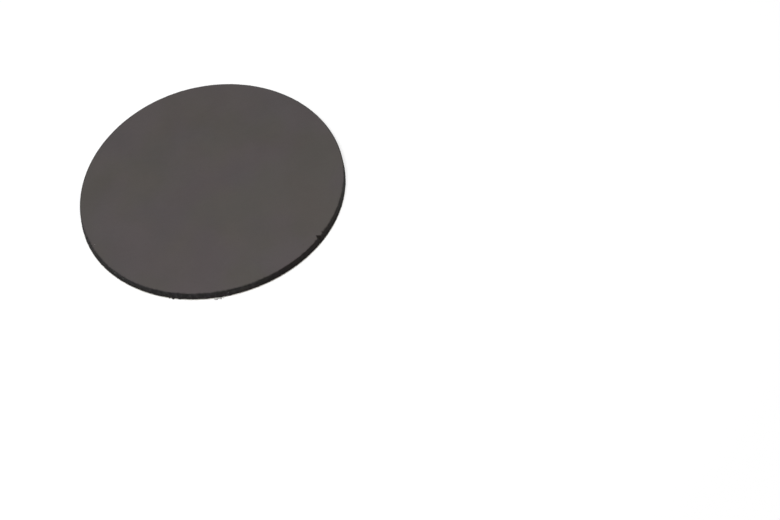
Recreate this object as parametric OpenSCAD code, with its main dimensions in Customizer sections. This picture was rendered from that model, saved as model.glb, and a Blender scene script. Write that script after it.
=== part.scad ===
// Self-adhesive magnetic disc: a round punched from flexible magnetic rubber
// sheet, with an adhesive film on its back and a peel-off liner over the film.
// The liner's underside lies on Z = 0 and the disc's axis is the Z axis.

/* [Disc] */
// Diameter across the punched edge
disc_d = 50; // [20:1:100]

/* [Magnetic sheet] */
// Thickness of the magnetic rubber sheet
sheet_t = 1.6; // [1:0.1:3]
// Radius that the punch rolls onto the top edge
roll_r = 0.2; // [0.1:0.05:0.4]
// Depth of the hollow in the punched wall, where the rubber springs back
hollow = 0.06; // [0.02:0.01:0.1]
// Straight land of wall left above and below the hollow
wall_land = 0.05; // [0.02:0.01:0.1]

/* [Backing] */
// Thickness of the adhesive film
film_t = 0.15; // [0.05:0.01:0.3]
// Distance that the film's edge lies in from the punched edge
film_setback = 0.1; // [0.05:0.05:0.5]
// Thickness of the peel-off liner
liner_t = 0.15; // [0.05:0.01:0.3]

/* [Nick in the top edge] */
// Direction of the nick, seen from the disc's centre
nick_angle = -48.6; // [-180:0.1:180]
// Depth of the nick across the face
nick_depth = 0.55; // [0.2:0.05:1]
// Width of the nick where it meets the edge
nick_w = 0.8; // [0.3:0.1:2]
// Height of the nick down the wall
nick_drop = 0.9; // [0.3:0.05:1]

/* [Burrs on the punched wall] */
// Direction of the larger burr, seen from the disc's centre
burr_angle = -119.4; // [-180:0.1:180]
// Width of the larger burr
burr_d = 0.6; // [0.2:0.05:0.8]
// Angle round the edge from the larger burr to the smaller one
burr_step = -1.7; // [-6:0.1:6]
// Width of the smaller burr
small_burr_d = 0.3; // [0.2:0.05:0.6]
// Gap between a burr and the foot of the wall
burr_lift = 0.04; // [0.02:0.01:0.2]

/* [Fray on the liner's edge] */
// Direction of the fray, seen from the disc's centre
fray_angle = -99.9; // [-180:0.1:180]
// Number of torn paper fibres
fray_count = 3; // [1:1:6]
// Distance between fibres along the edge
fray_pitch = 0.45; // [0.3:0.05:0.8]
// Length of the longest fibre beyond the edge
fray_reach = 0.55; // [0.2:0.05:1]
// Width of a fibre where it leaves the edge
fray_w = 0.2; // [0.05:0.01:0.3]

/* [Hidden] */

$fn = 180;

disc_r = disc_d / 2;

// the layers lie face to face, from the liner up
film_z = liner_t;
sheet_z = film_z + film_t;

// the wall stands from the sheet's underside to the start of the rolled edge
wall_h = sheet_t - roll_r;

// radius of the arc that spans the wall between its lands and is hollow deep
hollow_span = wall_h - 2 * wall_land;
hollow_r = (pow(hollow_span / 2, 2) + pow(hollow, 2)) / (2 * hollow);

// lean and length of the nick's root, from the face down to the wall
nick_lean = atan(nick_depth / nick_drop);
nick_root = norm([nick_depth, nick_drop]);

// share of its length that a fibre loses with each step from the middle one
fibre_step = 0.3;

rubber_colour = [0.34, 0.32, 0.32];
film_colour = [0.80, 0.74, 0.58, 0.6];
liner_colour = [0.92, 0.91, 0.88];

// Half section of the magnetic sheet: square foot, hollow wall, rolled top edge
module sheet_section() {
    difference() {
        union() {
            square([disc_r, wall_h]);
            square([disc_r - roll_r, sheet_t]);
            translate([disc_r - roll_r, wall_h])
                circle(r = roll_r, $fn = 48);
        }
        translate([disc_r - hollow + hollow_r, wall_h / 2])
            circle(r = hollow_r);
    }
}

// A three-sided notch, widest in the face, whose root leans out to the wall; its
// cutter is twice as deep and as wide as the nick, so that it clears the edge
module nick() {
    far_x = 2 * nick_depth * cos(nick_lean);
    rotate([0, 0, nick_angle])
        translate([disc_r - nick_depth, 0, sheet_t])
            rotate([0, -nick_lean, 0])
                linear_extrude(height = 4 * nick_root, center = true)
                    polygon([[0, 0], [far_x, -nick_w], [far_x, nick_w]]);
}

// A round crumb of rubber that the punch left half sunk in the wall, with its
// poles on the radius so that neither lies on the wall's surface
module burr(angle, width) {
    rotate([0, 0, angle])
        translate([disc_r, 0, burr_lift + width / 2])
            rotate([0, 90, 0])
                sphere(d = width, $fn = 32);
}

// Outline of one torn fibre, pointing along +X: it starts inside the liner, is
// fray_w wide at the liner's edge and runs out to a point
module fibre(reach) {
    root_x = disc_r - fray_w;
    root_w = fray_w * (1 + fray_w / reach);
    polygon([[root_x, -root_w / 2], [disc_r + reach, 0], [root_x, root_w / 2]]);
}

module fray() {
    middle = (fray_count - 1) / 2;
    pitch_angle = fray_pitch / disc_r * 180 / PI;
    for (i = [0 : fray_count - 1])
        rotate([0, 0, fray_angle + (i - middle) * pitch_angle])
            fibre(fray_reach * (1 - fibre_step * abs(i - middle)));
}

module magnetic_sheet() {
    color(rubber_colour)
        translate([0, 0, sheet_z])
            union() {
                difference() {
                    rotate_extrude()
                        sheet_section();
                    nick();
                }
                burr(burr_angle, burr_d);
                burr(burr_angle + burr_step, small_burr_d);
            }
}

module adhesive_film() {
    color(film_colour)
        translate([0, 0, film_z])
            cylinder(h = film_t, r = disc_r - film_setback);
}

module release_liner() {
    color(liner_colour)
        linear_extrude(height = liner_t)
            union() {
                circle(r = disc_r);
                fray();
            }
}

magnetic_sheet();
adhesive_film();
release_liner();
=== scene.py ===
"""Looks of an adhesive magnetic disc.

A round punched from flexible magnet sheet lies sticky side down on its release liner,
with its magnetic face up. Five sub-assemblies are dressed here: the magnet sheet, the
film of adhesive, the paper liner, the tuft where the liner tore, and the loose bits
that the punch left at the rim. Lengths are metres, and angles are radians unless a name
ends in deg. Azimuths run anticlockwise from +X, as seen from above.
"""

import logging
import math
from collections.abc import Sequence
from dataclasses import dataclass, field
from enum import Enum, IntEnum
from typing import NamedTuple

import bpy
import numpy as np
from mathutils import Matrix, Vector
from numpy.typing import NDArray


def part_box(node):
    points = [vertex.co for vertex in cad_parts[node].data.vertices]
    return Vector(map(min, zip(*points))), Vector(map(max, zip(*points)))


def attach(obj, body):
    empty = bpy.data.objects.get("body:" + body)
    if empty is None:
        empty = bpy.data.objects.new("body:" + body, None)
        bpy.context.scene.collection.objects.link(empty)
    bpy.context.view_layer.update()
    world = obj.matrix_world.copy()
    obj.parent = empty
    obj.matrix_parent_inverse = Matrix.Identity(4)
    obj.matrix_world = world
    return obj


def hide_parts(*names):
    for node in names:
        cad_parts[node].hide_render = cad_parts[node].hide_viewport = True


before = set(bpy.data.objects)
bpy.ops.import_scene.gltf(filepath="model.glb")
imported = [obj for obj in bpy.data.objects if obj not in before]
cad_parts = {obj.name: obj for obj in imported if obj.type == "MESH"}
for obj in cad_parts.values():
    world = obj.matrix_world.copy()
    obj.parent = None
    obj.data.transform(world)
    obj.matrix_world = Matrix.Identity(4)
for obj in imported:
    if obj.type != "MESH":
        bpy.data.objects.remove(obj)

Floats = NDArray[np.float64]
Values = Floats | float
Indices = NDArray[np.int64]
Place = tuple[float, float, float]
Colour = tuple[float, float, float, float]
Material = bpy.types.Material
Piece = bpy.types.Object
Tree = bpy.types.NodeTree
Node = bpy.types.Node
Socket = bpy.types.NodeSocket
Input = Socket | float | tuple[float, ...]

BODY = "root"
MM = 0.001
TURN = 2 * math.pi
UP = np.array([0.0, 0.0, 1.0])
WHITE: Colour = (1.0, 1.0, 1.0, 1.0)
log = logging.getLogger("magnetic_disc")


class CadNode(Enum):
    """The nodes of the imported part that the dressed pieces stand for."""

    SHEET = "magnetic_sheet"
    FILM = "adhesive_film"
    LINER = "release_liner"


class Slot(Enum):
    """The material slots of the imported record."""

    RUBBER = "magnetic_rubber"
    ADHESIVE = "adhesive"
    PAPER = "liner_paper"


class Span(NamedTuple):
    """A range of values."""

    low: float
    high: float


# ---------------------------------------------------------------- shapes


@dataclass(frozen=True)
class Layer:
    """Where one layer of the disc lies: its rim's radius and the heights of its faces."""

    rim: float
    top: float
    foot: float

    @classmethod
    def of(cls, node: CadNode) -> "Layer":
        """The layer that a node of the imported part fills."""
        low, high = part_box(node.value)
        return cls((high.x - low.x) / 2, high.z, low.z)


FACE_HEIGHT = Layer.of(CadNode.SHEET).top


@dataclass
class Shell:
    """One closed surface, or several.

    Attributes:
        points: The points, of shape (points, 3).
        quads: The faces with four corners, as places in points.
        caps: The faces with three corners, which fan to the poles.
        values: Numbers that the finishes read, one for each point.
    """

    points: Floats
    quads: Indices
    caps: Indices
    values: dict[str, Floats] = field(default_factory=dict)


def closed_shell(rings: Floats, start: Floats, end: Floats) -> Shell:
    """Closes a grid of points into a skin with a pole at each end.

    Formula: point (p, a) of the grid joins (p + 1, a), (p + 1, a + 1) and (p, a + 1),
    and the angle a runs round and meets itself. The first ring fans to the start pole
    and the last to the end pole. Faces look outward when the angles run anticlockwise
    as seen from the start pole.

    Args:
        rings: Points of the grid, of shape (rings, angles, 3).
        start: The pole before the first ring.
        end: The pole after the last ring.

    Returns:
        The closed shell, with the grid's points first and the two poles last.
    """
    count, steps = rings.shape[:2]
    index = np.arange(count * steps).reshape(count, steps)
    ahead = np.roll(index, -1, axis=1)
    quads = np.stack([index[:-1], index[1:], ahead[1:], ahead[:-1]], -1).reshape(-1, 4)
    first = np.full(steps, count * steps)
    start_fan = np.stack([first, index[0], ahead[0]], -1)
    end_fan = np.stack([first + 1, ahead[-1], index[-1]], -1)
    points = np.concatenate([rings.reshape(-1, 3), [start, end]])
    return Shell(points, quads, np.concatenate([start_fan, end_fan]))


def joined(shells: list[Shell]) -> Shell:
    """Puts several shells into one, each with its own points.

    Args:
        shells: The shells, whose values are left out.

    Returns:
        One shell with all their points, in order.
    """
    starts = np.cumsum([0] + [len(shell.points) for shell in shells[:-1]])
    points = np.concatenate([shell.points for shell in shells])
    quads = np.concatenate([shell.quads + start for shell, start in zip(shells, starts)])
    caps = np.concatenate([shell.caps + start for shell, start in zip(shells, starts)])
    return Shell(points, quads, caps)


def smooth(value: Values, low: float, high: float) -> Values:
    """Rises from 0 at low to 1 at high with level ends, as 3 t squared less 2 t cubed."""
    t = np.clip((value - low) / (high - low), 0, 1)
    return t * t * (3 - 2 * t)


def apart(angles: Values, angle_deg: float) -> Values:
    """Signed angle from angle_deg to each of the angles, the short way round."""
    return np.angle(np.exp(1j * (angles - math.radians(angle_deg))))


def outward(angle: float) -> Floats:
    """The level direction of an azimuth, of length 1."""
    return np.array([math.cos(angle), math.sin(angle), 0.0])


@dataclass(frozen=True)
class Stretch:
    """A stretch of the rim where something grows: its middle, half width and amount."""

    angle_deg: float
    half_deg: float
    amount: float

    def at(self, angles: Values) -> Values:
        """The amount at each angle: full in the middle, and smoothly 0 at the ends."""
        half = math.radians(self.half_deg)
        return self.amount * smooth(half - np.abs(apart(angles, self.angle_deg)), 0, half)


@dataclass(frozen=True)
class PunchedOutline:
    """How far the punched round is from a true circle, as shares of its radius.

    Attributes:
        lobe_count: How many times the outline bulges in a turn.
        lobe: How far it bulges.
        lobe_deg: The azimuth of the first bulge.
        leans: Where the punch leant, so that the foot stands out past the face's rim.
    """

    lobe_count: int = 3
    lobe: float = 0.0046
    lobe_deg: float = -30.0
    leans: tuple[Stretch, ...] = (Stretch(-171.0, 35.0, 0.0074), Stretch(-185.0, 9.0, 0.0034))

    def share(self, angles: Values, height: Values) -> Values:
        """The radius as a share of the nominal one, the same rule in every layer.

        Formula: 1, plus lobe times the cosine of lobe_count times the angle from
        lobe_deg, plus the leans times the share of the way down from the face.

        Args:
            angles: The angles round the axis.
            height: The heights above the table.

        Returns:
            The share at each angle and height.
        """
        lobes = self.lobe * np.cos(self.lobe_count * (angles - math.radians(self.lobe_deg)))
        down = np.clip(1 - height / FACE_HEIGHT, 0, 1)
        return 1 + lobes + sum(lean.at(angles) for lean in self.leans) * down


OUTLINE = PunchedOutline()


def turned_shell(radius: Floats, height: Floats, angles: Floats) -> Shell:
    """Carries a profile round the disc's axis, along the outline that the punch left.

    Formula: the radius is first made as little out of round as the punch left it. Then
    x is radius times the cosine of the angle, y is radius times its sine, and z is the
    height. Both poles lie on the axis, at the mean height of the ring nearest.

    Args:
        radius: Distance from the axis, for each (profile point, angle).
        height: Height, for each (profile point, angle), or one for each profile point.
        angles: The angles round the axis, rising.

    Returns:
        The closed shell.
    """
    height = height + 0 * radius
    radius = radius * OUTLINE.share(angles, height)
    rings = np.stack([radius * np.cos(angles), radius * np.sin(angles), height], -1)
    return closed_shell(rings, height[0].mean() * UP, height[-1].mean() * UP)


def rim_angles(count: int, marks_deg: tuple[float, ...] = ()) -> Floats:
    """Angles round the rim, closer together near each mark.

    Formula: the density at an angle is 1, plus a bell of bell_deg and bell_height at
    each mark. The angles cut the running total of the density into equal parts.

    Args:
        count: How many angles there are.
        marks_deg: Where the rim needs its finest steps.

    Returns:
        The angles, rising from 0 to less than a turn.
    """
    bell_deg, bell_height, fine_steps = 1.4, 9.0, 36000
    fine = np.linspace(0, TURN, fine_steps + 1)
    density = np.ones_like(fine)
    for mark in marks_deg:
        density += bell_height * np.exp(-((apart(fine, mark) / math.radians(bell_deg)) ** 2))
    total = np.concatenate([[0], np.cumsum((density[1:] + density[:-1]) / 2)])
    return np.interp(np.arange(count) / count * total[-1], total, fine)


@dataclass(frozen=True)
class RimNoise:
    """A random height round the rim that meets itself after one turn.

    Attributes:
        fewest: The smallest number of waves in a turn.
        most: The largest number of waves in a turn.
        fade: How quickly the finer waves grow weaker.
        seed: The seed of the waves' phases.
    """

    fewest: int
    most: int
    fade: float
    seed: int

    def at(self, angles: Floats) -> Floats:
        """The height at each angle, with a root mean square of about 1.

        Formula: the sum of cosines of whole numbers of waves, each with a random phase
        and a size of its number to the power of minus fade, over the sum's own root
        mean square.

        Args:
            angles: The angles round the axis.

        Returns:
            One height for each angle.
        """
        waves = np.arange(self.fewest, self.most + 1)
        phase = np.random.default_rng(self.seed).uniform(0, TURN, waves.size)
        size = waves ** -self.fade
        total = (size * np.cos(angles[:, None] * waves + phase)).sum(1)
        return total / math.sqrt((size**2).sum() / 2)

    def within(self, angles: Floats, limit: float) -> Floats:
        """The height at each angle, held between minus the limit and the limit."""
        return np.clip(self.at(angles), -limit, limit)

    def above(self, angles: Floats, level: float, limit: float) -> Floats:
        """How far the height stands above the level, from 0 to the limit."""
        return np.clip(self.at(angles) - level, 0, limit)


def lump(centre: Floats, half: Floats, turn_deg: float, seed: int, rings: int) -> Shell:
    """An uneven crumb.

    Formula: a ball of latitude and longitude, whose radius is 1 plus a wave of two and
    one of three in longitude, both strongest at its waist, plus a wave in latitude, all
    with random phases. It is stretched by half, turned about the upright axis and set
    at the centre.

    Args:
        centre: Where the crumb sits.
        half: Half its size outward, sideways and upward.
        turn_deg: The azimuth that its outward side faces.
        seed: The seed of its unevenness.
        rings: Rings of points between the poles; twice as many points lie in a ring.

    Returns:
        The crumb's closed shell.
    """
    two_fold, three_fold, endwise = 0.16, 0.12, 0.12
    a, b, c = np.random.default_rng(seed).uniform(0, TURN, 3)
    lat = np.pi * (np.arange(rings)[:, None] + 1) / (rings + 1)
    lon = TURN * np.arange(2 * rings)[None, :] / (2 * rings)
    waist = np.sin(lat)
    bulge = 1 + waist * (two_fold * np.sin(2 * lon + a) + three_fold * np.sin(3 * lon + b))
    bulge = bulge + endwise * np.sin(2 * lat + c)
    ball = np.stack([waist * np.cos(lon), waist * np.sin(lon), np.cos(lat) + 0 * lon], -1)
    pole = (1 + endwise * math.sin(c)) * UP
    ahead = outward(math.radians(turn_deg))
    turn = np.stack([ahead, np.cross(UP, ahead), UP])
    rows = np.concatenate([(ball * bulge[..., None]).reshape(-1, 3), [pole, -pole]])
    rows = (rows * half) @ turn + centre
    return closed_shell(rows[:-2].reshape(ball.shape), rows[-2], rows[-1])


def hair(root: Floats, tip: Floats, bow: Floats, thick: float) -> Shell:
    """A thin fibre that tapers to its tip.

    Formula: the middle line runs straight from root to tip, plus bow times 4 s (1 - s)
    at the share s of its length. Round each of its points lies a ring whose radius
    is half of thick times the square root of 1 less taper times s.

    Args:
        root: Where the fibre leaves the paper.
        tip: Its far end.
        bow: How far its middle stands off the straight line.
        thick: Its thickness at the root.

    Returns:
        The fibre's closed shell.
    """
    taper, steps, sides = 0.9, 12, 6
    share = np.linspace(0, 1, steps)[:, None]
    line = root + (tip - root) * share + bow * 4 * share * (1 - share)
    along = np.gradient(line, axis=0)
    along /= np.linalg.norm(along, axis=1, keepdims=True)
    side = np.cross(along, UP)
    side /= np.linalg.norm(side, axis=1, keepdims=True)
    over = np.cross(along, side)
    turn = (TURN * np.arange(sides) / sides)[None, :, None]
    reach = (thick / 2 * np.sqrt(1 - taper * share))[:, None]
    rings = line[:, None] + reach * (side[:, None] * np.cos(turn) - over[:, None] * np.sin(turn))
    return closed_shell(rings, line[0], line[-1])


def make_mesh(name: str, shell: Shell, material: Material, crease_deg: float) -> Piece:
    """Puts a shell into a mesh object that sits at the origin.

    Args:
        name: The object's name.
        shell: Its points, faces and values; each value becomes a point attribute.
        material: What it is made of.
        crease_deg: Edges that turn by more than this stay crisp.

    Returns:
        The object, linked to the scene and smooth-shaded.
    """
    mesh = bpy.data.meshes.new(name)
    mesh.from_pydata(shell.points.tolist(), [], shell.quads.tolist() + shell.caps.tolist())
    mesh.polygons.foreach_set("use_smooth", np.ones(len(mesh.polygons), bool))
    for key, values in shell.values.items():
        attribute = mesh.attributes.new(key, "FLOAT", "POINT")
        attribute.data.foreach_set("value", values.astype(np.float32))
    mesh.set_sharp_from_angle(angle=math.radians(crease_deg))
    mesh.update()
    mesh.materials.append(material)
    piece = bpy.data.objects.new(name, mesh)
    bpy.context.scene.collection.objects.link(piece)
    return piece


def fit_piece(piece: Piece, slot: Slot, node: CadNode | None = None) -> Piece:
    """Makes an object a piece of the disc.

    Args:
        piece: The object, which rides on the disc's one body.
        slot: The material slot that its finish belongs to.
        node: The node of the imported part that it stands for, if there is one.

    Returns:
        The same object.
    """
    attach(piece, BODY)
    if node is not None:
        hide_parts(node.value)
    log.info("piece %s: %d points, slot %s", piece.name, len(piece.data.vertices), slot.value)
    return piece


# ---------------------------------------------------------------- materials


class MixIn(IntEnum):
    """Places of a Mix node's inputs, whose names repeat."""

    SHARE = 0
    VALUE_A = 2
    VALUE_B = 3
    COLOUR_A = 6
    COLOUR_B = 7


class MixOut(IntEnum):
    """Places of a Mix node's outputs, whose names repeat."""

    VALUE = 0
    COLOUR = 2


class SocketKind(Enum):
    """The kinds of socket that a shared group has."""

    VECTOR = "NodeSocketVector"
    VALUE = "NodeSocketFloat"
    COLOUR = "NodeSocketColor"


FULL = Span(0.0, 1.0)
BOTH_WAYS = Span(-1.0, 1.0)
# Nearly all values of a noise lie within CLOUD.
CLOUD = Span(0.3, 0.7)


class Wiring:
    """Adds nodes to one node tree and links them."""

    def __init__(self, tree: Tree) -> None:
        """Keeps the tree that the nodes go into."""
        self.tree = tree

    def link(self, source: Socket, target: Socket) -> None:
        """Links one node's output to another node's input."""
        self.tree.links.new(source, target)

    def add(self, kind: str, inputs: dict[str | int, Input] | None = None, **settings: object) -> Node:
        """Adds one node.

        Args:
            kind: The node's type, without its ShaderNode prefix.
            inputs: A value for a socket, or another node's socket to link to it.
            **settings: Properties of the node itself.

        Returns:
            The new node.
        """
        node = self.tree.nodes.new("ShaderNode" + kind)
        for key, value in settings.items():
            setattr(node, key, value)
        for key, value in (inputs or {}).items():
            if isinstance(value, Socket):
                self.link(value, node.inputs[key])
            else:
                node.inputs[key].default_value = value
        return node

    def place(self, group: Tree, inputs: dict[str | int, Input]) -> Socket:
        """Places a shared group and returns its one output."""
        return self.add("Group", inputs, node_tree=group).outputs[0]

    def worked(self, operation: str, a: Input, b: Input) -> Socket:
        """What the named operation makes of two values."""
        return self.add("Math", {0: a, 1: b}, operation=operation).outputs["Value"]

    def plus(self, a: Input, b: Input) -> Socket:
        """The sum of a and b."""
        return self.worked("ADD", a, b)

    def less(self, a: Input, b: Input) -> Socket:
        """The value a less b."""
        return self.worked("SUBTRACT", a, b)

    def times(self, a: Input, b: Input) -> Socket:
        """The product of a and b."""
        return self.worked("MULTIPLY", a, b)

    def scaled(self, value: Input, span: Span, onto: Span) -> Socket:
        """Carries a value from one span onto another, smoothly and never past its ends.

        Args:
            value: The value.
            span: The span that it comes from.
            onto: The span that it goes to.

        Returns:
            The value in its new span.
        """
        inputs = {"Value": value, "From Min": span.low, "From Max": span.high}
        inputs |= {"To Min": onto.low, "To Max": onto.high}
        return self.add("MapRange", inputs, interpolation_type="SMOOTHSTEP").outputs["Result"]

    def mixed(self, share: Input, a: Input, b: Input) -> Socket:
        """Value a where share is 0, and b where it is 1."""
        inputs = {MixIn.SHARE: share, MixIn.VALUE_A: a, MixIn.VALUE_B: b}
        return self.add("Mix", inputs).outputs[MixOut.VALUE]

    def blend(self, share: Input, a: Input, b: Input) -> Socket:
        """Colour a where share is 0, and b where it is 1."""
        inputs = {MixIn.SHARE: share, MixIn.COLOUR_A: a, MixIn.COLOUR_B: b}
        return self.add("Mix", inputs, data_type="RGBA").outputs[MixOut.COLOUR]

    def tint(self, colour: Input, factor: Input) -> Socket:
        """The colour with each channel times the factor's."""
        inputs = {MixIn.SHARE: 1.0, MixIn.COLOUR_A: colour, MixIn.COLOUR_B: factor}
        return self.add("Mix", inputs, data_type="RGBA", blend_type="MULTIPLY").outputs[MixOut.COLOUR]

    def grey(self, value: Input) -> Socket:
        """The value in each of three channels."""
        return self.add("CombineXYZ", {"X": value, "Y": value, "Z": value}).outputs["Vector"]

    def kept(self, name: str) -> Socket:
        """A value that the mesh keeps at its points."""
        return self.add("Attribute", attribute_name=name).outputs["Fac"]

    def stretched(self, scale: Place = (1.0, 1.0, 1.0)) -> Socket:
        """Object coordinates, times a scale for each axis."""
        place = self.add("TexCoord").outputs["Object"]
        return self.add("Mapping", {"Vector": place, "Scale": scale}).outputs["Vector"]

    def either(self, share: Input, a: Socket, b: Socket) -> Socket:
        """Shader a where share is 0, and b where it is 1."""
        return self.add("MixShader", {0: share, 1: a, 2: b}).outputs["Shader"]


class GroupWiring(Wiring):
    """Adds nodes to a shared group, which takes a Vector and named values."""

    def __init__(self, name: str, values: dict[str, float], output: str, kind: SocketKind) -> None:
        """Starts the group.

        Args:
            name: The group's name.
            values: The default of each named value.
            output: The name of its one output.
            kind: What the output carries.
        """
        super().__init__(bpy.data.node_groups.new(name, "ShaderNodeTree"))
        sockets = self.tree.interface
        sockets.new_socket("Vector", in_out="INPUT", socket_type=SocketKind.VECTOR.value)
        for key, value in values.items():
            socket = sockets.new_socket(key, in_out="INPUT", socket_type=SocketKind.VALUE.value)
            socket.default_value = value
        sockets.new_socket(output, in_out="OUTPUT", socket_type=kind.value)
        self.given = self.tree.nodes.new("NodeGroupInput").outputs
        self.result = self.tree.nodes.new("NodeGroupOutput").inputs[output]

    def cloud(self, scale: Input, detail: float, roughness: float = 0.5) -> Node:
        """A noise texture on the group's Vector."""
        inputs = {"Vector": self.given["Vector"], "Scale": scale, "Detail": detail, "Roughness": roughness}
        return self.add("TexNoise", inputs)

    def finished(self, source: Socket) -> Tree:
        """Puts the source out of the group and returns its tree."""
        self.link(source, self.result)
        return self.tree


class Effects:
    """The effects that more than one finish uses, each a node group built once."""

    def __init__(self) -> None:
        """Builds every group."""
        self.mottle = self._mottle()
        self.grain = self._grain()
        self.specks = self._specks()

    @staticmethod
    def _mottle() -> Tree:
        """Slow unevenness of tone and hue.

        Formula: tone is 1 plus amount times a cloud that runs from -1 to 1. Two slower
        clouds, each times tinge, are the olive and the rose. Green is tone, blue is tone
        less the olive, and red is tone plus red_share times the rose less the olive.

        Returns:
            The group, with a Factor colour to multiply a base colour by.
        """
        slower, red_share, hue_span = 0.6, 0.36, Span(0.35, 0.65)
        values = {"Scale": 100.0, "Amount": 0.02, "Tinge": 0.01}
        w = GroupWiring("slow mottle", values, "Factor", SocketKind.COLOUR)
        scale, amount, tinge = w.given["Scale"], w.given["Amount"], w.given["Tinge"]
        cloud = w.cloud(scale, detail=3.0, roughness=0.55).outputs["Fac"]
        hues = w.cloud(w.times(scale, slower), detail=2.0).outputs["Color"]
        hue = w.add("SeparateColor", {"Color": hues}).outputs
        olive = w.times(w.scaled(hue["Red"], hue_span, BOTH_WAYS), tinge)
        rose = w.times(w.scaled(hue["Green"], hue_span, BOTH_WAYS), tinge)
        tone = w.plus(w.times(w.scaled(cloud, CLOUD, BOTH_WAYS), amount), 1.0)
        red = w.plus(tone, w.times(w.less(rose, olive), red_share))
        factor = w.add("CombineColor", {"Red": red, "Green": tone, "Blue": w.less(tone, olive)})
        return w.finished(factor.outputs["Color"])

    @staticmethod
    def _grain() -> Tree:
        """Fine grain as a height.

        Formula: the mean of a cloud and one whose scale is ratio times as large, from 0
        to 1.

        Returns:
            The group, with a Height from 0 to 1.
        """
        ratio = 3.1
        w = GroupWiring("fine grain", {"Scale": 2000.0}, "Height", SocketKind.VALUE)
        scale = w.given["Scale"]
        coarse = w.cloud(scale, detail=2.0).outputs["Fac"]
        fine = w.cloud(w.times(scale, ratio), detail=1.0).outputs["Fac"]
        return w.finished(w.times(w.plus(coarse, fine), 0.5))

    @staticmethod
    def _specks() -> Tree:
        """Sparse dots of different sizes.

        Formula: space is cut into cells with one point in each. A dot is where the
        distance to the point is below size times the cell's own random number to the
        power of rarity, and its edge is soft.

        Returns:
            The group, with a Mask of 1 in a dot and 0 elsewhere.
        """
        rarity, soft_edge = 3.0, Span(0.0, 0.05)
        w = GroupWiring("sparse specks", {"Scale": 800.0, "Size": 0.2}, "Mask", SocketKind.VALUE)
        cells = w.add("TexVoronoi", {"Vector": w.given["Vector"], "Scale": w.given["Scale"]}).outputs
        chance = w.add("SeparateColor", {"Color": cells["Color"]}).outputs["Red"]
        limit = w.times(w.worked("POWER", chance, rarity), w.given["Size"])
        return w.finished(w.scaled(w.less(limit, cells["Distance"]), soft_edge, FULL))


@dataclass(frozen=True)
class Mottle:
    """The values of one slow mottle: how fine it is, and how uneven tone and hue are."""

    scale: float
    amount: float
    tinge: float

    def placed(self, w: Wiring, effects: Effects) -> Socket:
        """Places the shared mottle and returns the colour to multiply by."""
        inputs = {"Vector": w.stretched(), "Scale": self.scale, "Amount": self.amount, "Tinge": self.tinge}
        return w.place(effects.mottle, inputs)


@dataclass(frozen=True)
class Grain:
    """The values of one fine grain: how fine it is, and its scale along each axis."""

    scale: float
    stretch: Place = (1.0, 1.0, 1.0)

    def placed(self, w: Wiring, effects: Effects) -> Socket:
        """Places the shared grain and returns its height from 0 to 1."""
        return w.place(effects.grain, {"Vector": w.stretched(self.stretch), "Scale": self.scale})


@dataclass(frozen=True)
class Specks:
    """The values of one set of specks: how close they lie, and how large they are."""

    scale: float
    size: float

    def placed(self, w: Wiring, effects: Effects) -> Socket:
        """Places the shared specks and returns their mask."""
        return w.place(effects.specks, {"Vector": w.stretched(), "Scale": self.scale, "Size": self.size})


@dataclass(frozen=True)
class Finish:
    """What every finish has: a name, a gloss and the shader it starts from."""

    name: str
    specular: float
    roughness: float

    def start(self) -> tuple[Material, Wiring, Node]:
        """Makes the material with its Principled shader.

        Returns:
            The material, the wiring of its tree, and the shader.
        """
        material = bpy.data.materials.new(self.name)
        material.use_nodes = True
        tree = material.node_tree
        shader = next(node for node in tree.nodes if node.type == "BSDF_PRINCIPLED")
        shader.inputs["Specular IOR Level"].default_value = self.specular
        shader.inputs["Roughness"].default_value = self.roughness
        return material, Wiring(tree), shader

    @staticmethod
    def relief(w: Wiring, shader: Node, height: Socket, depth: float) -> None:
        """Raises the surface by the height, 0 to 1, times the depth in metres."""
        bump = w.add("Bump", {"Height": height, "Strength": 1.0, "Distance": depth})
        w.link(bump.outputs["Normal"], shader.inputs["Normal"])


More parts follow.
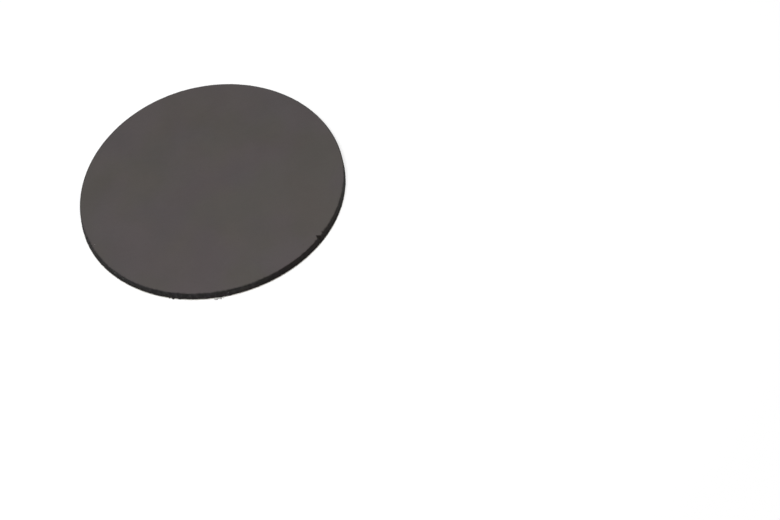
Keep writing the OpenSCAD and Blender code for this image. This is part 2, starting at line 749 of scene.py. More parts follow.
@dataclass(frozen=True)
class RubberFinish(Finish):
    """Ferrite-filled rubber: a satin rolled face, and a matte torn wall where it was cut."""

    # Colours of the face; of the torn wall, darker partly because cut rubber is duller and partly as
    # painted shade for the little light on the upright wall; and of the wall's stains and painted shade.
    face: Colour = (0.0740, 0.0653, 0.0630, 1.0)
    wall: Colour = (0.0257, 0.0243, 0.0239, 1.0)
    stain_and_shade: Colour = (0.0150, 0.0122, 0.0115, 1.0)
    # Unevenness of the whole and of the wall alone, and the pores.
    clouds: Mottle = Mottle(130.0, 0.035, 0.045)
    smears: Mottle = Mottle(1300.0, 0.34, 0.06)
    pores: Specks = Specks(900.0, 0.16)
    # Grain that the rollers drew along the sheet and the punch down the wall, and grit.
    streaks: Grain = Grain(1700.0, (0.22, 1.0, 1.0))
    tears: Grain = Grain(2600.0, (1.0, 1.0, 0.16))
    grit: Grain = Grain(7000.0)
    # Tones of a worn rim and of a pore, and of the furrows and the grit from low to high.
    worn_tone: float = 1.40
    pore_tone: float = 0.9
    furrow_span: Span = Span(0.38, 0.62)
    furrow_tone: Span = Span(0.66, 1.34)
    grit_tone: Span = Span(0.95, 1.05)
    # How far the face's roughness strays either way, and the wall's roughness.
    satin: float = 0.05
    wall_roughness: float = 0.9
    # Shares of the grains in the relief of the wall and of the face, and its depth.
    tear_share: float = 0.6
    streak_relief: float = 0.16
    grit_relief: float = 0.08
    depth: float = 0.022 * MM

    def material(self, effects: Effects) -> Material:
        """Builds the rubber.

        Formula: the colour turns from face to wall by cut, and the wall's turns darker, towards
        the colour of stains and painted shade, by a point value for stains, blots and painted
        shade. It is multiplied by the clouds, by the wear, by the pores, and by the grit's tone
        on the face or the furrows' on the wall.

        Args:
            effects: The shared node groups.

        Returns:
            The material. It reads the point values cut, 1 on the torn wall, rub, where
            the rim is worn, and a third, high where the wall has stains, blots and painted shade.
        """
        material, w, shader = self.start()
        cut, rub, shade_and_soil = w.kept("cut"), w.kept("rub"), w.kept("shade_and_soil")
        clouds, smears = self.clouds.placed(w, effects), self.smears.placed(w, effects)
        streaks, tears = self.streaks.placed(w, effects), self.tears.placed(w, effects)
        grit, pores = self.grit.placed(w, effects), self.pores.placed(w, effects)
        torn = w.plus(w.times(tears, self.tear_share), w.times(grit, 1 - self.tear_share))
        # Painted shade: the wall turns darker where stains, blots and painted shade are marked, and its own
        # colour is partly painted shade.
        wall = w.tint(w.blend(shade_and_soil, self.wall, self.stain_and_shade), smears)
        colour = w.tint(w.blend(cut, self.face, wall), clouds)
        worn = w.scaled(rub, FULL, Span(1.0, self.worn_tone))
        shade = w.times(worn, w.scaled(pores, FULL, Span(1.0, self.pore_tone)))
        furrow = w.scaled(torn, self.furrow_span, self.furrow_tone)
        shade = w.times(shade, w.mixed(cut, w.scaled(grit, CLOUD, self.grit_tone), furrow))
        w.link(w.tint(colour, w.grey(shade)), shader.inputs["Base Color"])
        satin = Span(self.roughness - self.satin, self.roughness + self.satin)
        rough = w.mixed(cut, w.scaled(streaks, CLOUD, satin), self.wall_roughness)
        w.link(rough, shader.inputs["Roughness"])
        fine = w.plus(w.times(streaks, self.streak_relief), w.times(grit, self.grit_relief))
        self.relief(w, shader, w.mixed(cut, fine, torn), self.depth)
        return material


@dataclass(frozen=True)
class AdhesiveFinish(Finish):
    """Clear-grey acrylic adhesive with a faint haze."""

    colour: Colour = (0.15, 0.125, 0.085, 1.0)
    haze: Mottle = Mottle(320.0, 0.09, 0.03)
    ripple: Grain = Grain(900.0)
    # How far the roughness falls and rises with the ripple.
    gloss: Span = Span(-0.06, 0.12)
    depth: float = 0.01 * MM

    def material(self, effects: Effects) -> Material:
        """Builds the adhesive from its colour times the haze, and its ripple.

        Args:
            effects: The shared node groups.

        Returns:
            The material.
        """
        material, w, shader = self.start()
        ripple = self.ripple.placed(w, effects)
        w.link(w.tint(self.colour, self.haze.placed(w, effects)), shader.inputs["Base Color"])
        gloss = Span(self.roughness + self.gloss.low, self.roughness + self.gloss.high)
        w.link(w.scaled(ripple, CLOUD, gloss), shader.inputs["Roughness"])
        self.relief(w, shader, ripple, self.depth)
        return material


@dataclass(frozen=True)
class PaperFinish(Finish):
    """Dense glassine release paper, faintly fibrous."""

    colour: Colour = (0.78, 0.76, 0.71, 1.0)
    fibres: Grain = Grain(1500.0, (0.3, 1.0, 1.0))
    cloud: Mottle = Mottle(240.0, 0.03, 0.01)
    flecks: Specks = Specks(700.0, 0.12)
    # Tones of the fibres from low to high, and of a fleck.
    fibre_tone: Span = Span(0.93, 1.03)
    fleck_tone: float = 0.82
    depth: float = 0.012 * MM

    def material(self, effects: Effects) -> Material:
        """Builds the paper from its colour times the cloud, the fibres and the flecks.

        Args:
            effects: The shared node groups.

        Returns:
            The material.
        """
        material, w, shader = self.start()
        fibres, flecks = self.fibres.placed(w, effects), self.flecks.placed(w, effects)
        dark = w.scaled(flecks, FULL, Span(1.0, self.fleck_tone))
        shade = w.times(w.scaled(fibres, CLOUD, self.fibre_tone), dark)
        colour = w.tint(self.colour, self.cloud.placed(w, effects))
        w.link(w.tint(colour, w.grey(shade)), shader.inputs["Base Color"])
        self.relief(w, shader, fibres, self.depth)
        return material


# ---------------------------------------------------------------- sub-assemblies


@dataclass(frozen=True)
class Notch:
    """A V-shaped nick in the rim, deepest at the face and running out down the wall."""

    angle_deg: float
    depth: float
    width: float
    drop: float

    def inward(self, angles: Floats, below: Floats, radius: float) -> Floats:
        """How far the notch pushes the wall inward.

        Formula: depth times what is left of 1 after taking off the arc length from the
        notch's middle over half its width, and the height below the face over its drop.

        Args:
            angles: The angles round the rim.
            below: Heights below the face, of shape (profile points, 1).
            radius: The rim's radius.

        Returns:
            The push at each (profile point, angle), never below 0.
        """
        aside = np.abs(apart(angles, self.angle_deg)) * radius / (self.width / 2)
        return self.depth * np.clip(1 - aside - below / self.drop, 0, None)


@dataclass(frozen=True)
class Section:
    """The magnet sheet's half section at every angle, before it is torn.

    Attributes:
        radius: Distance from the axis, of shape (rows, angles).
        height: Height of each row, of shape (rows, 1), as all that follow.
        past: How many rows a row lies past the start of the rolled edge.
        down: Share of the way down from the face to the foot.
        outside: 1 for each row above the underside, and 0 on it.
        on_wall: 1 on the wall, and smoothly 0 at the face; 0 on the underside.
    """

    radius: Floats
    height: Floats
    past: Floats
    down: Floats
    outside: Floats
    on_wall: Floats


@dataclass
class MagnetSheet:
    """The round of magnet sheet: a flat face, a rolled edge and a hollow torn wall."""

    # The rolled edge: its height, where it is wider, and how its inner side strays.
    roll: float = 0.20 * MM
    wider: tuple[Stretch, ...] = (
        Stretch(-90.0, 90.0, 0.065 * MM),
        Stretch(-160.0, 26.0, 0.10 * MM),
        Stretch(-171.0, 13.0, 0.15 * MM),
        Stretch(-34.0, 26.0, 0.09 * MM),
        Stretch(-44.4, 2.8, 0.22 * MM),
        Stretch(-63.0, 18.0, -0.06 * MM),
    )
    jag: float = 0.042 * MM
    jags: RimNoise = RimNoise(20, 330, 0.5, 16)
    jag_limit: float = 2.0
    # The wall: its hollow between two straight lands, and its tears at top, middle and foot.
    hollow: float = 0.06 * MM
    land: float = 0.05 * MM
    tear: float = 0.016 * MM
    tears: tuple[RimNoise, ...] = (
        RimNoise(40, 560, 0.35, 11),
        RimNoise(40, 560, 0.35, 12),
        RimNoise(40, 560, 0.35, 13),
    )
    # The rags at its foot: how far they hang and stand out, and where they begin.
    rag: float = 0.040 * MM
    rag_spread: float = 0.6
    rags: RimNoise = RimNoise(12, 420, 0.5, 14)
    rag_level: float = 0.5
    rag_limit: float = 2.2
    rag_span: Span = Span(0.86, 1.0)
    # The face's rise and fall, and the length, way and phase of each of its waves.
    swell: float = 0.006 * MM
    swells: tuple[Place, ...] = ((17 * MM, 0.3, 1.0), (12 * MM, 1.7, 2.2), (9 * MM, 2.6, 4.1))
    # The nick's notches, and how far in from the rim they pull at the face.
    notches: tuple[Notch, ...] = (
        Notch(-48.55, 0.74 * MM, 1.00 * MM, 1.10 * MM),
        Notch(-50.9, 0.13 * MM, 0.45 * MM, 0.70 * MM),
        Notch(-45.6, 0.24 * MM, 0.60 * MM, 0.90 * MM),
    )
    notch_reach: float = 1.4 * MM
    # Where the torn look begins and where the rim is worn, in rows past the flat face.
    cut_rows: Span = Span(-1.2, 5.0)
    worn_row: float = 3.6
    worn_rows: float = 2.0
    wear: RimNoise = RimNoise(3, 90, 0.6, 15)
    # Painted shade along stretches of the wall, the push of a notch that darkens the wall by one,
    # blots, painted shade towards the foot, and their limit.
    shaded_stretches: tuple[Stretch, ...] = (Stretch(-56.0, 44.0, 1.0), Stretch(-66.0, 20.0, 0.3))
    darkening_push: float = 0.30 * MM
    blot: float = 0.6
    blots: RimNoise = RimNoise(20, 260, 0.3, 17)
    blot_level: float = 0.4
    blot_limit: float = 1.4
    blot_span: Span = Span(0.45, 0.9)
    foot_shade: float = 0.22
    foot_shade_span: Span = Span(0.3, 0.8)
    shade_and_soil_limit: float = 1.4
    # The rows of the section, as shares of the radius or as numbers of rows.
    face_shares: tuple[float, ...] = (
        0.03, 0.2, 0.4, 0.58, 0.72, 0.83, 0.9, 0.94, 0.955, 0.967, 0.977, 0.986, 0.993,
    )
    roll_rows: int = 9
    wall_rows: int = 14
    under_shares: tuple[float, ...] = (0.995, 0.9, 0.5, 0.1)
    # The points in a row, where they lie closest, and the turn from which an edge is crisp.
    angle_count: int = 1640
    marks_deg: tuple[float, ...] = (-48.6, -50.4, -119.4, -121.1)
    crease_deg: float = 50.0

    def build(self) -> Shell:
        """Works out the sheet's skin from its section, its notches and its tears.

        Returns:
            The shell, with the values cut and rub, and one for stains, blots and painted shade.
        """
        layer = Layer.of(CadNode.SHEET)
        angles = rim_angles(self.angle_count, self.marks_deg)
        section = self._section(layer, angles)
        below = np.maximum(layer.top - section.height, 0)
        push = np.max([notch.inward(angles, below, layer.rim) for notch in self.notches], axis=0)
        radius, height = self._torn(section, push, layer, angles)
        shell = turned_shell(radius, height, angles)
        shell.values = self._wear(section, push, angles)
        return shell

    def _section(self, layer: Layer, angles: Floats) -> Section:
        """Works out the half section.

        Formula: the rows run out along the face, a quarter turn round the rolled edge,
        down the wall and back in under the sheet. The wall is hollow by a bow of
        4 s (1 - s) times hollow, at the share s of the way from land to land. The rolled
        edge is wider in some stretches, and jagged.

        Args:
            layer: Where the sheet lies.
            angles: The angles round the axis.

        Returns:
            The section.
        """
        width = self.roll + sum(stretch.at(angles) for stretch in self.wider)
        width = width + self.jag * self.jags.within(angles, self.jag_limit)
        flat, shoulder = layer.rim - width, layer.top - self.roll
        face, under = np.array(self.face_shares)[:, None], np.array(self.under_shares)[:, None]
        turn = np.radians(np.linspace(90, 0, self.roll_rows))[:, None]
        wall = np.linspace(shoulder, layer.foot, self.wall_rows + 1)[1:, None]
        share = (shoulder - wall - self.land) / (shoulder - layer.foot - 2 * self.land)
        share = np.clip(share, 0, 1)
        outer = np.concatenate([layer.rim - self.hollow * 4 * share * (1 - share), layer.rim * under])
        radius = np.concatenate([face * flat, flat + np.cos(turn) * width, outer + 0 * angles])
        roll = shoulder + self.roll * np.sin(turn)
        height = np.concatenate([layer.top + 0 * face, roll, wall, layer.foot + 0 * under])
        past = np.arange(len(radius), dtype=float)[:, None] - face.size
        down = np.clip((layer.top - height) / (layer.top - layer.foot), 0, 1)
        outside = (past < self.roll_rows + self.wall_rows).astype(float)
        on_wall = smooth(past, 1, self.roll_rows) * outside
        return Section(radius, height, past, down, outside, on_wall)

    def _torn(self, section: Section, push: Floats, layer: Layer, angles: Floats) -> tuple[Floats, Floats]:
        """Moves the section where the rubber is notched, torn and ragged.

        Formula: the wall moves inward by the notches, whose push fades out on the face
        towards the axis, and in and out by the tears, which differ at the top, middle
        and foot and grow with the square root of the way down. Near the foot the rags
        move it down and outward. The face rises and falls by its swell.

        Args:
            section: The section before it is torn.
            push: The push of the notches at each (row, angle).
            layer: Where the sheet lies.
            angles: The angles round the axis.

        Returns:
            The radius and the height at each (row, angle).
        """
        down, on_wall = section.down, section.on_wall
        at_top, at_middle, at_foot = (noise.at(angles) for noise in self.tears)
        tears = np.clip(1 - 2 * down, 0, 1) * at_top + (1 - np.abs(2 * down - 1)) * at_middle
        tears = tears + np.clip(2 * down - 1, 0, 1) * at_foot
        rags = self.rags.above(angles, self.rag_level, self.rag_limit)
        rags = self.rag * rags * smooth(down, *self.rag_span) * on_wall
        reach = smooth(section.radius, layer.rim - self.notch_reach, layer.rim - self.roll)
        radius = section.radius - push * reach * section.outside
        radius = radius + self.tear * tears * on_wall * np.sqrt(down) + self.rag_spread * rags
        swell = self.swell * self._swell(radius, angles) * (section.past < 0)
        return radius, section.height - rags + swell

    def _swell(self, radius: Floats, angles: Floats) -> Floats:
        """Slow rise and fall of the face, as the mean of its crossing waves.

        Args:
            radius: Distance from the axis at each (row, angle).
            angles: The angles round the axis.

        Returns:
            The height at each (row, angle), from -1 to 1.
        """
        x, y = radius * np.cos(angles), radius * np.sin(angles)
        waves = [
            np.sin(TURN * (x * math.cos(way) + y * math.sin(way)) / length + phase)
            for length, way, phase in self.swells
        ]
        return sum(waves) / len(waves)

    def _wear(self, section: Section, push: Floats, angles: Floats) -> dict[str, Floats]:
        """Works out where the rubber looks torn and worn, and where blots and painted shade darken it.

        Formula: cut rises from the face to the wall. Rub is a bell over the rows of the
        rolled edge times a noise round the rim. The third value is the sum of painted shade
        along stretches of the wall, the blots, painted shade towards the foot, and the push of
        the notches.

        Args:
            section: The section before it is torn.
            push: The push of the notches at each (row, angle).
            angles: The angles round the axis.

        Returns:
            The values cut, rub and the one for blots and painted shade, one for each point, with 0 at both
            poles.
        """
        past, down = section.past, section.down
        cut = smooth(past, *self.cut_rows) + 0 * angles
        patches = np.clip(0.5 + 0.5 * self.wear.at(angles), 0, 1)
        rub = np.exp(-(((past - self.worn_row) / self.worn_rows) ** 2)) * patches
        blots = self.blots.above(angles, self.blot_level, self.blot_limit)
        # Painted shade along stretches of the wall, and darker the further a notch pushes in.
        shade_and_soil = sum(stretch.at(angles) for stretch in self.shaded_stretches) + push / self.darkening_push
        shade_and_soil = shade_and_soil + self.blot * blots * smooth(down, *self.blot_span)
        # Painted shade: the wall darker towards its foot.
        shade_and_soil = shade_and_soil + self.foot_shade * smooth(down, *self.foot_shade_span)
        values = {"cut": cut, "rub": rub, "shade_and_soil": np.clip(shade_and_soil, 0, self.shade_and_soil_limit)}
        return {key: np.concatenate([value.ravel(), [0, 0]]) for key, value in values.items()}

    def dress(self, rubber: Material) -> Piece:
        """Makes the piece of rubber and fits it."""
        piece = make_mesh("rubber_sheet", self.build(), rubber, self.crease_deg)
        return fit_piece(piece, Slot.RUBBER, CadNode.SHEET)


def thin_section(layer: Layer, flat: Floats, edge: Floats, edge_height: Floats) -> tuple[Floats, Floats]:
    """Half section of a thin round: out on its upper face, down its edge, in underneath.

    Args:
        layer: Where the round lies.
        flat: Radii of the rows on either face, rising.
        edge: Radii of the rows down the edge.
        edge_height: Heights of the rows down the edge.

    Returns:
        The radius and the height of each row, both of shape (rows, 1).
    """
    radius = np.concatenate([flat, edge, flat[::-1]])
    top, foot = np.full(flat.size, layer.top), np.full(flat.size, layer.foot)
    return radius[:, None], np.concatenate([top, edge_height, foot])[:, None]


@dataclass
class AdhesiveFilm:
    """The film of adhesive between the sheet and its liner, a little short of the rim."""

    # How far the edge wanders and its middle bulges.
    wander: float = 0.022 * MM
    wanders: RimNoise = RimNoise(3, 120, 0.7, 21)
    wander_limit: float = 2.0
    belly: float = 0.02 * MM
    # Shares of the radius at which the wandering begins and the rows of either face lie.
    fade_share: float = 0.97
    face_shares: tuple[float, ...] = (0.05, 0.4, 0.8, 0.96)
    edge_rows: int = 7
    angle_count: int = 900
    crease_deg: float = 50.0

    def build(self) -> Shell:
        """Works out the film's skin.

        Formula: a flat round whose edge bulges by belly times 4 s (1 - s), at the share
        s of the way down, and wanders in and out by a slow noise round the rim.

        Returns:
            The closed shell.
        """
        layer = Layer.of(CadNode.FILM)
        angles = rim_angles(self.angle_count)
        share = np.linspace(0, 1, self.edge_rows)
        land = layer.rim - self.belly
        edge = land + self.belly * 4 * share * (1 - share)
        edge_height = layer.top + (layer.foot - layer.top) * share
        flat = layer.rim * np.array(self.face_shares)
        radius, height = thin_section(layer, flat, edge, edge_height)
        outer = smooth(radius, layer.rim * self.fade_share, land)
        radius = radius + self.wander * outer * self.wanders.within(angles, self.wander_limit)
        return turned_shell(radius, height, angles)

    def dress(self, glue: Material) -> Piece:
        """Makes the piece of adhesive and fits it."""
        piece = make_mesh("glue_film", self.build(), glue, self.crease_deg)
        return fit_piece(piece, Slot.ADHESIVE, CadNode.FILM)


@dataclass
class PaperLiner:
    """The release liner: a round of dense paper with a faintly fuzzy edge."""

    # The radius of the edge's corners, and the fuzz, which differs at the upper and lower.
    rounding: float = 0.03 * MM
    fuzz: float = 0.012 * MM
    fuzzes: tuple[RimNoise, ...] = (RimNoise(30, 430, 0.4, 31), RimNoise(30, 430, 0.4, 32))
    fuzz_span: Span = Span(-2.5, 2.0)
    # Shares of the radius at which the fuzz begins and the rows of either face lie.
    fade_share: float = 0.986
    face_shares: tuple[float, ...] = (0.05, 0.4, 0.8, 0.95, 0.985)
    corner_rows: int = 5
    angle_count: int = 1300
    marks_deg: tuple[float, ...] = (-99.8,)
    crease_deg: float = 60.0

    def build(self) -> Shell:
        """Works out the paper's skin.

        Formula: a flat round with a quarter turn at each corner of its edge, which
        stands in and out by a fine noise that differs between its two faces.

        Returns:
            The closed shell.
        """
        layer = Layer.of(CadNode.LINER)
        angles = rim_angles(self.angle_count, self.marks_deg)
        turn = np.radians(np.linspace(90, 0, self.corner_rows))
        corner = layer.rim - self.rounding * (1 - np.cos(turn))
        fall = self.rounding * (1 - np.sin(turn))
        edge = np.concatenate([corner, corner[::-1]])
        edge_height = np.concatenate([layer.top - fall, layer.foot + fall[::-1]])
        land = layer.rim - self.rounding
        radius, height = thin_section(layer, land * np.array(self.face_shares), edge, edge_height)
        down = (layer.top - height) / (layer.top - layer.foot)
        at_top, at_foot = (noise.at(angles) for noise in self.fuzzes)
        fuzz = np.clip((1 - down) * at_top + down * at_foot, *self.fuzz_span)
        radius = radius + self.fuzz * smooth(radius, layer.rim * self.fade_share, land) * fuzz
        return turned_shell(radius, height, angles)

    def dress(self, paper: Material) -> Piece:
        """Makes the piece of paper and fits it."""
        piece = make_mesh("paper_liner", self.build(), paper, self.crease_deg)
        return fit_piece(piece, Slot.PAPER, CadNode.LINER)


class Fibre(NamedTuple):
    """What is left to chance in a fibre: its reach, its turn aside, its bow, the heights
    of its root and its tip as shares of the liner's, and its thickness."""

    reach: float
    aside: float
    bow: float
    root: float
    tip: float
    thick: float


class Flake(NamedTuple):
    """What is left to chance in a flake: its place across the tuft, its reach, its
    height as a share of the liner's, and its size."""

    across: float
    reach: float
    height: float
    size: float


@dataclass
class Fray:
    """The tuft where the punch tore the liner: loose fibres among thin flakes of paper."""

    # The azimuth of its middle, half its width, and the seed of all that is left to chance.
    angle_deg: float = -99.9
    half_deg: float = 1.9
    seed: int = 33
    # The fibres: how many, their sizes, and the least and the most of each chance.
    fibre_count: int = 26
    fibre_reach: float = 0.46 * MM
    fibre_bow: float = 0.08 * MM
    fibre_thick: float = 0.07 * MM
    least_fibre: Fibre = Fibre(reach=0.4, aside=-0.8, bow=-1.0, root=0.2, tip=0.1, thick=0.6)
    most_fibre: Fibre = Fibre(reach=1.15, aside=0.8, bow=1.0, root=1.5, tip=1.0, thick=1.2)
    # The flakes: likewise, with how far the outermost ones turn aside.
    flake_count: int = 13
    flake_reach: float = 0.30 * MM
    flake_half: Place = (0.13 * MM, 0.11 * MM, 0.028 * MM)
    flake_turn_deg: float = 60.0
    flake_seed: int = 90
    flake_rings: int = 5
    least_flake: Flake = Flake(across=-0.95, reach=0.0, height=0.2, size=0.6)
    most_flake: Flake = Flake(across=0.95, reach=1.0, height=0.9, size=1.3)
    crease_deg: float = 60.0

    def fibres(self, layer: Layer, rng: np.random.Generator) -> list[Shell]:
        """Works out the fibres.

        Formula: the fibres leave the edge at even steps across the tuft, and start
        twice their thickness inside it. Each turns aside from straight outward, bows
        sideways, and ends above or below where it starts.

        Args:
            layer: Where the liner lies.
            rng: Where the random numbers come from.

        Returns:
            One shell for each fibre.
        """
        spread = np.linspace(-self.half_deg, self.half_deg, self.fibre_count)
        hairs = []
        for angle in np.radians(self.angle_deg + spread):
            chance = Fibre(*rng.uniform(self.least_fibre, self.most_fibre))
            edge = layer.rim * OUTLINE.share(angle, layer.top)
            root = edge * outward(angle) + layer.top * chance.root * UP
            ahead = outward(angle + chance.aside)
            bend = np.cross(UP, ahead) * chance.bow * self.fibre_bow
            rise = layer.top * (chance.tip - chance.root) * UP
            tip = root + ahead * chance.reach * self.fibre_reach + bend + rise
            start = root - ahead * 2 * self.fibre_thick
            hairs.append(hair(start, tip, bend, chance.thick * self.fibre_thick))
        return hairs

    def flakes(self, layer: Layer, rng: np.random.Generator) -> list[Shell]:
        """Works out the flakes, which are flat lumps.

        Formula: each lies at a random place across the tuft, a random way outside the
        edge, and turns aside the more, the further it is from the tuft's middle.

        Args:
            layer: Where the liner lies.
            rng: Where the random numbers come from.

        Returns:
            One shell for each flake.
        """
        lumps = []
        for seed in range(self.flake_seed, self.flake_seed + self.flake_count):
            chance = Flake(*rng.uniform(self.least_flake, self.most_flake))
            angle_deg = self.angle_deg + chance.across * self.half_deg
            angle = math.radians(angle_deg)
            out = layer.rim * OUTLINE.share(angle, layer.top) + chance.reach * self.flake_reach
            centre = out * outward(angle) + layer.top * chance.height * UP
            half = chance.size * np.array(self.flake_half)
            turn_deg = angle_deg + self.flake_turn_deg * chance.across
            lumps.append(lump(centre, half, turn_deg, seed, self.flake_rings))
        return lumps

    def build(self) -> Shell:
        """Works out the tuft, with its fibres first, because they draw first."""
        layer, rng = Layer.of(CadNode.LINER), np.random.default_rng(self.seed)
        return joined(self.fibres(layer, rng) + self.flakes(layer, rng))

    def dress(self, paper: Material) -> Piece:
        """Makes the piece of greyed paper, partly painted shade and partly soil, and fits it."""
        piece = make_mesh("frayed_paper", self.build(), paper, self.crease_deg)
        return fit_piece(piece, Slot.PAPER, CadNode.LINER)


@dataclass(frozen=True)
class Crumb:
    """One bit at the rim: its azimuth, how far its middle stands outside the rim, the
    height of its middle, and half its size outward, sideways and upward."""

    angle_deg: float
    proud: float
    up: float
    half: Place

    def shell(self, rim: float, seed: int, rings: int) -> Shell:
        """The crumb as a lump.

        Args:
            rim: The radius that it is set against, before the outline's own shape.
            seed: The seed of its unevenness.
            rings: Rings of points in it.

        Returns:
            The closed shell, which faces outward.
        """
        angle = math.radians(self.angle_deg)
        out = rim * OUTLINE.share(angle, self.up) + self.proud
        centre = out * outward(angle) + self.up * UP
        return lump(centre, np.array(self.half), self.angle_deg, seed, rings)


@dataclass
class RimBits:
    """What the punch left at the rim: two burrs, crumbs of rubber, and pale paper dust."""

    # The burrs at the foot of the wall.
    burrs: tuple[Crumb, ...] = (
        Crumb(-119.6, 0.00 * MM, 0.30 * MM, (0.24 * MM, 0.19 * MM, 0.20 * MM)),
        Crumb(-121.3, -0.03 * MM, 0.22 * MM, (0.15 * MM, 0.16 * MM, 0.11 * MM)),
    )
    burr_seed: int = 50
    burr_rings: int = 14
    # The crumbs of rubber: how many, the seed of their places and sizes, half a crumb's
    # size and the span of what chance multiplies it by. Then, as shares of that half size:
    # half the width, how deep the middle is sunk, and how high it stands above the foot.
    crumb_count: int = 64
    scatter_seed: int = 41
    crumb_half: float = 0.034 * MM
    crumb_size: Span = Span(0.6, 1.9)
    crumb_width: float = 1.3
    crumb_sunk: float = 0.2
    crumb_lift: Span = Span(-0.2, 1.6)
    crumb_seed: int = 60
    crumb_rings: int = 4
    # The specks of paper dust.
    dust: tuple[Crumb, ...] = (
        Crumb(-148.5, -0.01 * MM, 1.48 * MM, (0.030 * MM, 0.070 * MM, 0.048 * MM)),
        Crumb(-144.0, -0.04 * MM, 1.26 * MM, (0.025 * MM, 0.045 * MM, 0.032 * MM)),
        Crumb(-95.3, -0.05 * MM, 1.20 * MM, (0.025 * MM, 0.055 * MM, 0.036 * MM)),
        Crumb(-166.8, -0.75 * MM, 1.90 * MM, (0.034 * MM, 0.030 * MM, 0.012 * MM)),
    )
    dust_seed: int = 140
    dust_rings: int = 6
    crease_deg: float = 60.0

    def crumbs(self, foot: float) -> list[Crumb]:
        """Scatters small crumbs of rubber along the foot of the wall.

        Formula: each has a random azimuth, and half its size is crumb_half times a random
        number within crumb_size that is weighted to the small end. Its middle is sunk in
        the wall by crumb_sunk times that, and stands above the foot by a random number
        within crumb_lift times that.

        Args:
            foot: The height of the wall's foot.

        Returns:
            The crumbs.
        """
        rng = np.random.default_rng(self.scatter_seed)
        azimuth = rng.uniform(-180, 180, self.crumb_count)
        least, most = self.crumb_size
        half = self.crumb_half * (least + (most - least) * rng.uniform(0, 1, self.crumb_count) ** 2)
        lift = rng.uniform(*self.crumb_lift, self.crumb_count)
        crumbs = []
        for angle_deg, size, share in zip(azimuth, half, lift):
            box = (size, size * self.crumb_width, size)
            crumbs.append(Crumb(angle_deg, -self.crumb_sunk * size, foot + size * share, box))
        return crumbs

    @staticmethod
    def build(bits: Sequence[Crumb], rim: float, seed: int, rings: int) -> Shell:
        """Works out several bits as one shell.

        Args:
            bits: The bits.
            rim: The radius that they are set against.
            seed: The seed of the first one's unevenness; the next has the next.
            rings: Rings of points in each.

        Returns:
            The shell.
        """
        return joined([bit.shell(rim, seed + place, rings) for place, bit in enumerate(bits)])

    def dress(self, rubber: Material, paper: Material) -> list[Piece]:
        """Makes the rubber bits and the paper dust, and fits them.

        Args:
            rubber: What the burrs and crumbs are made of.
            paper: What the dust is made of.

        Returns:
            The two pieces.
        """
        layer = Layer.of(CadNode.SHEET)
        burrs = self.build(self.burrs, layer.rim, self.burr_seed, self.burr_rings)
        crumbs = self.build(self.crumbs(layer.foot), layer.rim, self.crumb_seed, self.crumb_rings)
        torn = joined([burrs, crumbs])
        torn.values = {"cut": np.ones(len(torn.points))}
        dust = self.build(self.dust, layer.rim, self.dust_seed, self.dust_rings)
        bits = make_mesh("rubber_burrs", torn, rubber, self.crease_deg)
        pale = make_mesh("paper_dust", dust, paper, self.crease_deg)
        return [fit_piece(bits, Slot.RUBBER), fit_piece(pale, Slot.PAPER)]


# ---------------------------------------------------------------- stage


@dataclass(frozen=True)
class Lamp:
    """A square soft lamp that is aimed at the disc's middle."""

    name: str
    place: Place
    side: float
    power: float

    def build(self) -> Piece:
        """Makes the lamp, which lights but isn't seen.

        Returns:
            The lamp.
        """
        data = bpy.data.lights.new(self.name, "AREA")
        data.shape = "SQUARE"
        data.size = self.side
        data.energy = self.power
        lamp = bpy.data.objects.new(self.name, data)
        lamp.location = self.place
        lamp.rotation_mode = "QUATERNION"
        lamp.rotation_quaternion = Vector(self.place).to_track_quat("Z", "Y")
        lamp.visible_camera = False
        bpy.context.scene.collection.objects.link(lamp)
        return lamp


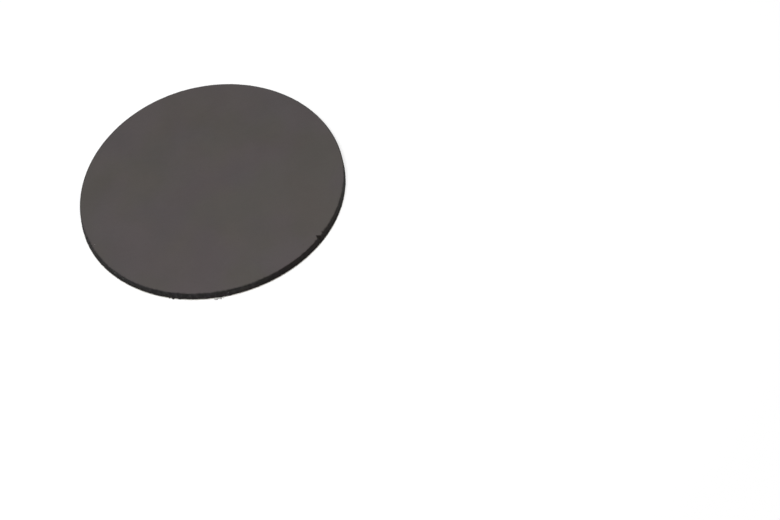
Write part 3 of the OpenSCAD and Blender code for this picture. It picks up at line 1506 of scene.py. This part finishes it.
@dataclass
class Studio:
    """The white floor, the soft light and the plain surroundings."""

    # The floor: its radius, how far it lies below the disc, and its clear middle, which
    # ends that far inside the disc's outline and fades out over a ring that wide.
    floor_reach: float = 4.0
    floor_drop: float = 0.02 * MM
    clear_inset: float = 0.04 * MM
    clear_fade: float = 0.20 * MM
    outline_steps: int = 720
    # Where the seen floor turns plain white, its grey and its glow nearer by, the grey
    # that lights the disc, and the light from all around.
    near: Span = Span(0.05, 0.12)
    paint: float = 0.50
    glow: float = 0.58
    bounce: float = 0.25
    ambient: float = 0.50
    lamps: tuple[Lamp, ...] = (
        Lamp("soft lamp", (-0.03, -0.14, 0.29), 0.16, 0.68),
        Lamp("fill lamp for the underside", (0.0, 0.0, -0.30), 0.16, 0.40),
    )
    crease_deg: float = 180.0

    def build(self) -> None:
        """Builds the floor, the world and the lamps."""
        floor = make_mesh("floor", self._plane(), self._floor(), self.crease_deg)
        bpy.context.scene.world = self._world()
        for lamp in self.lamps:
            lamp.build()

    def _plane(self) -> Shell:
        """Works out the floor's one flat face, open at its outer edge.

        Formula: three rings round a middle point. The first two follow the disc's outline
        just inside its edge, and the value under falls from 1 to 0 between them. The
        third is a wide circle.

        Returns:
            The shell, with the value under.
        """
        angles = rim_angles(self.outline_steps)
        edge = Layer.of(CadNode.LINER).rim * OUTLINE.share(angles, 0.0) - self.clear_inset
        radius = np.stack([edge - self.clear_fade, edge, self.floor_reach + 0 * angles])
        rings = np.stack([radius * np.cos(angles), radius * np.sin(angles), 0 * radius - self.floor_drop], -1)
        middle = -self.floor_drop * UP
        plane = closed_shell(rings, middle, middle)
        under = np.concatenate([np.repeat([1.0, 0.0, 0.0], angles.size), [1.0]])
        return Shell(plane.points[:-1], plane.quads, plane.caps[: angles.size], {"under": under})

    @staticmethod
    def _seen(w: Wiring) -> Socket:
        """Tells the rays that show the surroundings from those that only light the disc.

        Args:
            w: The wiring of the tree that asks.

        Returns:
            1 for rays from the camera, from gloss and through glass, and 0 for the rest.
        """
        path = w.add("LightPath").outputs
        either = w.worked("MAXIMUM", path["Is Camera Ray"], path["Is Glossy Ray"])
        return w.worked("MAXIMUM", either, path["Is Transmission Ray"])

    @staticmethod
    def _painted(w: Wiring, grey: float) -> Socket:
        """A diffuse shader of that grey."""
        return w.add("BsdfDiffuse", {"Color": (grey, grey, grey, 1.0)}).outputs["BSDF"]

    @staticmethod
    def _lit(w: Wiring, kind: str, strength: float) -> Socket:
        """A shader, Emission or Background, that gives off white light of that strength."""
        return w.add(kind, {"Color": WHITE, "Strength": strength}).outputs[0]

    def _floor(self) -> Material:
        """A wide white floor that keeps a faint shadow near the disc.

        Formula: what is seen is part diffuse and part glow near the disc, and turns into
        plain white further off. Other rays meet a darker diffuse floor. From below, and
        right under the disc for those other rays, the floor is clear, so that the
        underside of the disc gets the light of the surroundings.

        Returns:
            The material, which reads the point value under.
        """
        material = bpy.data.materials.new("white floor")
        material.use_nodes = True
        material.node_tree.nodes.clear()
        w = Wiring(material.node_tree)
        place = w.add("TexCoord").outputs["Object"]
        away = w.add("VectorMath", {0: place}, operation="LENGTH").outputs["Value"]
        paint, glow = self._painted(w, self.paint), self._lit(w, "Emission", self.glow)
        near = w.add("AddShader", {0: paint, 1: glow}).outputs["Shader"]
        seen = w.either(w.scaled(away, self.near, FULL), near, self._lit(w, "Emission", 1.0))
        clear = w.add("BsdfTransparent").outputs["BSDF"]
        dull = w.either(w.kept("under"), self._painted(w, self.bounce), clear)
        above = w.either(self._seen(w), dull, seen)
        back = w.add("NewGeometry").outputs["Backfacing"]
        w.add("OutputMaterial", {"Surface": w.either(back, above, clear)})
        return material

    def _world(self) -> bpy.types.World:
        """White surroundings for what is seen, and a plain ambient light for the rest.

        Returns:
            The world.
        """
        world = bpy.data.worlds.new("surroundings")
        world.use_nodes = True
        world.node_tree.nodes.clear()
        w = Wiring(world.node_tree)
        ambient, white = self._lit(w, "Background", self.ambient), self._lit(w, "Background", 1.0)
        w.add("OutputWorld", {"Surface": w.either(self._seen(w), ambient, white)})
        return world


@dataclass
class Viewpoint:
    """The camera: where it stands, what it aims at, and how it is tilted about its axis."""

    place: Place = (0.0, -0.542635, 0.641404)
    aim: Place = (0.027715, -0.027049, 0.0)
    roll_deg: float = 13.725
    lens_mm: float = 207.692
    sensor_mm: float = 36.0
    clip: Span = Span(0.01, 20.0)

    def build(self) -> Piece:
        """Makes the scene's camera.

        Formula: it looks from its place to its aim with its upper side up, and then
        turns about that line of sight so that what it sees turns anticlockwise.

        Returns:
            The camera.
        """
        data = bpy.data.cameras.new("viewpoint")
        data.lens = self.lens_mm
        data.sensor_width = self.sensor_mm
        data.clip_start, data.clip_end = self.clip
        camera = bpy.data.objects.new("viewpoint", data)
        sight = Vector(self.aim) - Vector(self.place)
        level = sight.to_track_quat("-Z", "Y").to_matrix()
        roll = Matrix.Rotation(-math.radians(self.roll_deg), 3, "Z")
        camera.rotation_mode = "QUATERNION"
        camera.rotation_quaternion = (level @ roll).to_quaternion()
        camera.location = self.place
        bpy.context.scene.collection.objects.link(camera)
        bpy.context.scene.camera = camera
        return camera


def main() -> None:
    """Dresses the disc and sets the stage."""
    logging.basicConfig(level=logging.INFO, format="%(name)s: %(message)s")
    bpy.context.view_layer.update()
    bpy.context.scene.view_settings.view_transform = "Standard"
    effects = Effects()
    rubber = RubberFinish("magnet rubber", specular=0.14, roughness=0.58).material(effects)
    glue = AdhesiveFinish("acrylic adhesive", specular=0.3, roughness=0.3).material(effects)
    paper = PaperFinish("release paper", specular=0.3, roughness=0.7).material(effects)
    # The grey of the torn tuft is partly painted shade, for white fibres lying in shade, and partly soil; the
    # dust shares it.
    soiled_and_shaded_grey: Colour = (0.44, 0.43, 0.42, 1.0)
    soiled_and_shaded = PaperFinish("soiled paper", specular=0.2, roughness=0.8, colour=soiled_and_shaded_grey).material(effects)
    MagnetSheet().dress(rubber)
    AdhesiveFilm().dress(glue)
    PaperLiner().dress(paper)
    Fray().dress(soiled_and_shaded)
    RimBits().dress(rubber, soiled_and_shaded)
    Studio().build()
    Viewpoint().build()


if __name__ == "__main__":
    main()
